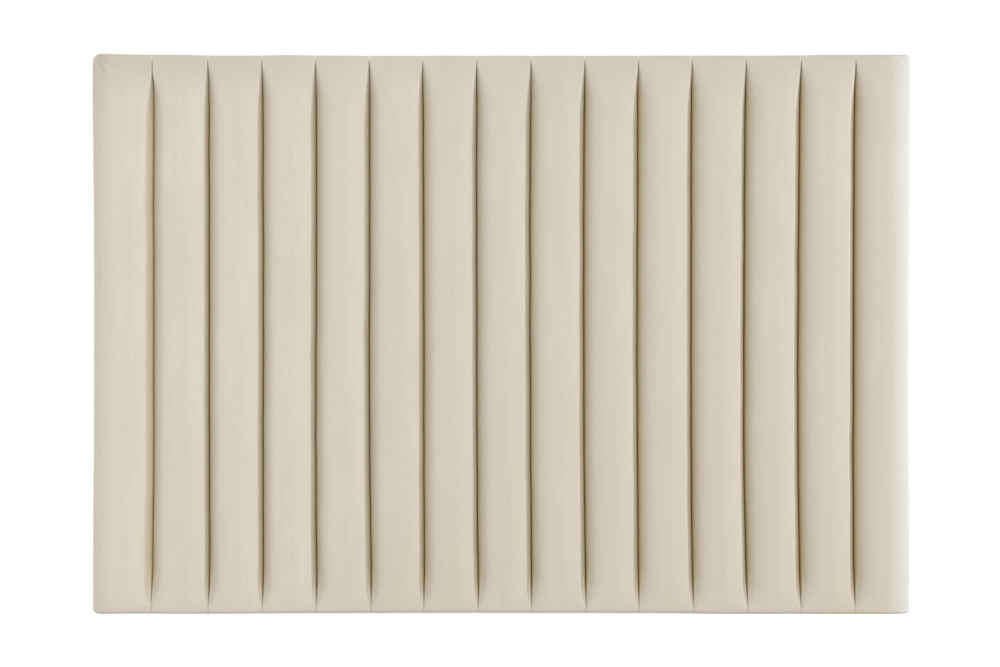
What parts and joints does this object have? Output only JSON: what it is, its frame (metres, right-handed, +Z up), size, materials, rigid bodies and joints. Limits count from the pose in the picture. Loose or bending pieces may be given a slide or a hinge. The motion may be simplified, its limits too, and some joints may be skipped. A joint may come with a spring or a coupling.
{
  "type": "headboard",
  "caption": "Floor-standing headboard with upright velvet channels over foam and a plywood-faced timber frame, with threaded bolt inserts in the back.",
  "frame": {"origin": "on the floor, under the middle of the panel's width and depth", "axes": "+X across the bed to the right as seen from the bed, +Y from the channels back to the wall, +Z up"},
  "size_m": [1.6, 0.0856, 1.1],
  "materials": {
    "velvet": "matte velvet",
    "channel_foam": "open-cell foam",
    "edge_foam": "soft wadding",
    "listing_card": "pressed card",
    "plywood": "raw plywood",
    "frame_wood": "planed softwood",
    "staple_wire": "galvanised",
    "zinc_steel": "zinc plated",
    "dust_cloth": "non-woven cloth",
    "glide_nylon": "moulded nylon"
  },
  "bodies": {
    "root": {"bottom_edge_pad": "edge_foam", "bottom_rail": "frame_wood", "centre_stile": "frame_wood", "cover_strip_01": "velvet", "cover_strip_02": "velvet", "cover_strip_03": "velvet", "cover_strip_04": "velvet", "cover_strip_05": "velvet", "cover_strip_06": "velvet", "cover_strip_07": "velvet", "cover_strip_08": "velvet", "cover_strip_09": "velvet", "cover_strip_10": "velvet", "cover_strip_11": "velvet", "cover_strip_12": "velvet", "cover_strip_13": "velvet", "cover_strip_14": "velvet", "cover_strip_15": "velvet", "dust_cover": "dust_cloth", "floor_glides": "glide_nylon", "foam_channel_01": "channel_foam", "foam_channel_02": "channel_foam", "foam_channel_03": "channel_foam", "foam_channel_04": "channel_foam", "foam_channel_05": "channel_foam", "foam_channel_06": "channel_foam", "foam_channel_07": "channel_foam", "foam_channel_08": "channel_foam", "foam_channel_09": "channel_foam", "foam_channel_10": "channel_foam", "foam_channel_11": "channel_foam", "foam_channel_12": "channel_foam", "foam_channel_13": "channel_foam", "foam_channel_14": "channel_foam", "foam_channel_15": "channel_foam", "frame_staples": "staple_wire", "front_board": "plywood", "left_edge_pad": "edge_foam", "left_inner_stile": "frame_wood", "left_stile": "frame_wood", "listing_strips": "listing_card", "middle_rail": "frame_wood", "right_edge_pad": "edge_foam", "right_inner_stile": "frame_wood", "right_stile": "frame_wood", "threaded_inserts": "zinc_steel", "top_edge_pad": "edge_foam", "top_rail": "frame_wood"}
  },
  "joints": []
}
